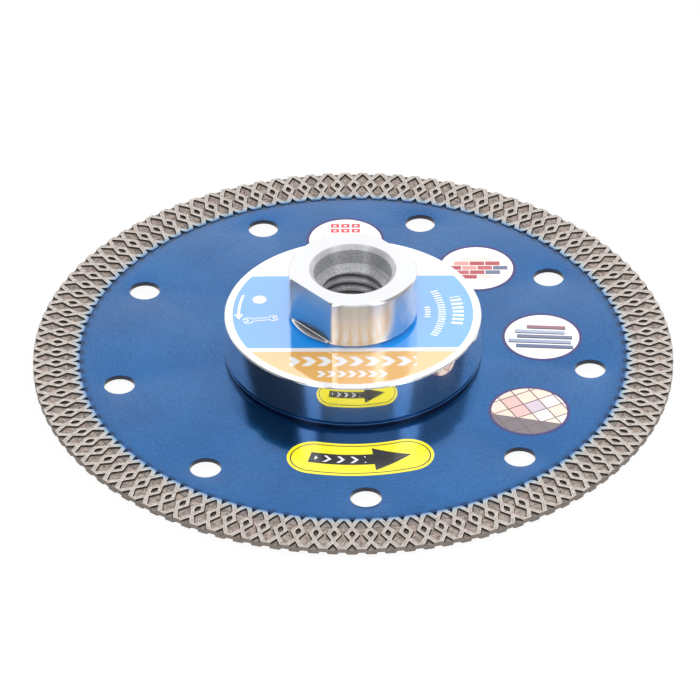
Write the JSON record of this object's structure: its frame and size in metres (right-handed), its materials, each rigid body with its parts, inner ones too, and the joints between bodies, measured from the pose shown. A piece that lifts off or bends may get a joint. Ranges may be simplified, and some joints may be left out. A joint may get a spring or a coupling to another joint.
{
  "type": "diamond blade",
  "caption": "Thin diamond tile-cutting disc with a mesh-turbo rim, cooling holes, reinforcing rings and a screwed-on threaded flange with a flatted hub.",
  "frame": {"origin": "on the spindle thread's axis, at the face of the back reinforcing ring, on which the blade lies", "axes": "+Z along the thread, towards the hub's end face; -Y towards the rotation label"},
  "size_m": [0.125, 0.125, 0.0219],
  "materials": {
    "blue_paint": "gloss blue metallic lacquer on ground steel",
    "sintered_rim": "rough sintered metal and diamond grit, ground bright on the ridges",
    "polished_plate": "polished bright plating on turned steel",
    "black_oxide": "black oxide, lightly oiled",
    "printed_foil": "gloss laminated print in blue, orange and white",
    "transfer_yellow": "gloss transfer print in yellow and near-black",
    "transfer_white": "gloss transfer print on white"
  },
  "bodies": {
    "root": {"core": "blue_paint", "diamond_rim": "sintered_rim", "front_reinforcing_ring": "blue_paint", "back_reinforcing_ring": "blue_paint", "threaded_flange": "polished_plate", "flange_screws": "black_oxide", "flange_label": "printed_foil", "rotation_label": "transfer_yellow", "floor_tile_label": "transfer_white", "brick_label": "transfer_white", "slab_label": "transfer_white", "mosaic_label": "transfer_white"}
  },
  "joints": []
}
